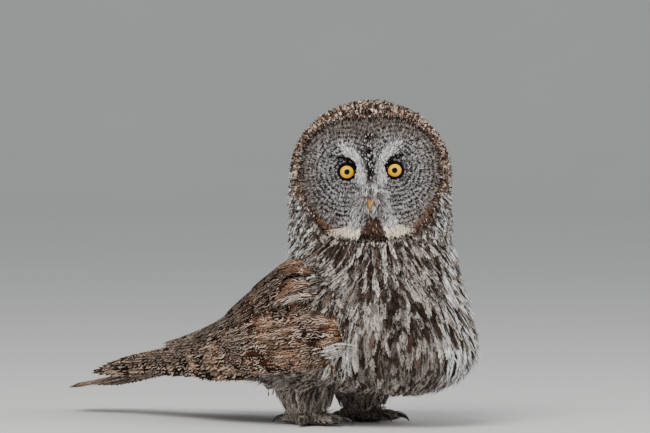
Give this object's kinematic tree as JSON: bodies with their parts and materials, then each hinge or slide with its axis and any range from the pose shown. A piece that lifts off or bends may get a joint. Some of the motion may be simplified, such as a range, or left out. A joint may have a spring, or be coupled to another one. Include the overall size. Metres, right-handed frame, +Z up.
{
  "type": "owl figure",
  "caption": "Life-size great grey owl standing low with folded wings, head turned over its right shoulder, round ringed face and pale moustache.",
  "frame": {"origin": "on the floor under the middle of the bird's bounding box", "axes": "+Z up, -Y the way the body faces, +Y towards the tail, +X the bird's left; the head faces about 50 degrees to its right"},
  "size_m": [0.2524, 0.5522, 0.358],
  "materials": {
    "crown_feathers": "matt brown and grey barred feathers",
    "body_feathers": "matt loose grey feathers with dark brown streaks",
    "disc_feathers": "matt fine grey feathers in dark and pale rings",
    "wing_feathers": "matt brown feathers with grey and dark bars",
    "tail_feathers": "matt dark brown feathers with grey bars",
    "leg_feathers": "matt downy pale grey feathers",
    "eye": "wet yellow iris and black pupil",
    "eyelid": "matt black skin",
    "bill_horn": "smooth yellow horn",
    "claw_horn": "polished black horn"
  },
  "bodies": {
    "root": {"bill_lower": "bill_horn", "bill_upper": "bill_horn", "claw_hind_left": "claw_horn", "claw_hind_right": "claw_horn", "claw_inner_left": "claw_horn", "claw_inner_right": "claw_horn", "claw_middle_left": "claw_horn", "claw_middle_right": "claw_horn", "claw_outer_left": "claw_horn", "claw_outer_right": "claw_horn", "eye_left": "eye", "eye_right": "eye", "eyelid_left": "eyelid", "eyelid_right": "eyelid", "facial_disc": "disc_feathers", "foot_left": "leg_feathers", "foot_right": "leg_feathers", "head": "crown_feathers", "leg_left": "leg_feathers", "leg_right": "leg_feathers", "neck": "body_feathers", "tail": "tail_feathers", "torso": "body_feathers", "wing_left": "wing_feathers", "wing_right": "wing_feathers"}
  },
  "joints": []
}
